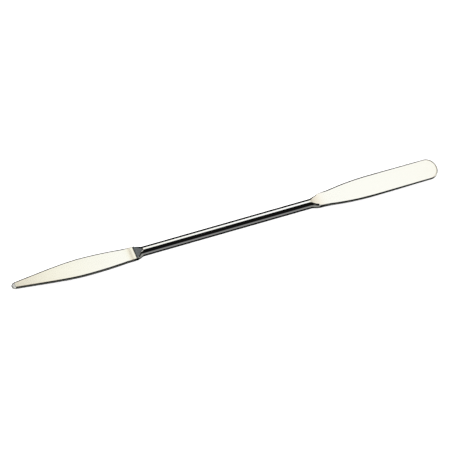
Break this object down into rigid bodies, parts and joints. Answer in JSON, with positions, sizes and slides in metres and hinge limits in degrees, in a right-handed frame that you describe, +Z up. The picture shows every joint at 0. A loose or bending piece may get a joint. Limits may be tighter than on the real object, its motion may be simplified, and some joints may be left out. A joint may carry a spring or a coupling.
{
  "type": "sculpting spatula",
  "caption": "Double-ended stainless steel modelling spatula: thin round-ended blade and pointed leaf-shaped blade on a slim round shank with forged shoulders.",
  "frame": {"origin": "middle of the bounding box's underside: half way along the tool, on its plane of symmetry, at the underside of the round shank", "axes": "+X along the tool towards the rounded blade, +Y across the blades, +Z up out of the blades' upper faces"},
  "size_m": [0.18, 0.0106, 0.0041],
  "materials": {
    "polished_shank": "drawn round stainless steel, mirror polished, with very fine lengthwise polishing lines",
    "satin_blade": "forged stainless steel, ground and polished to a bright satin with fine lengthwise grinding lines"
  },
  "bodies": {
    "root": {"shank_rod": "polished_shank", "rounded_blade": "satin_blade", "pointed_blade": "satin_blade"}
  },
  "joints": []
}
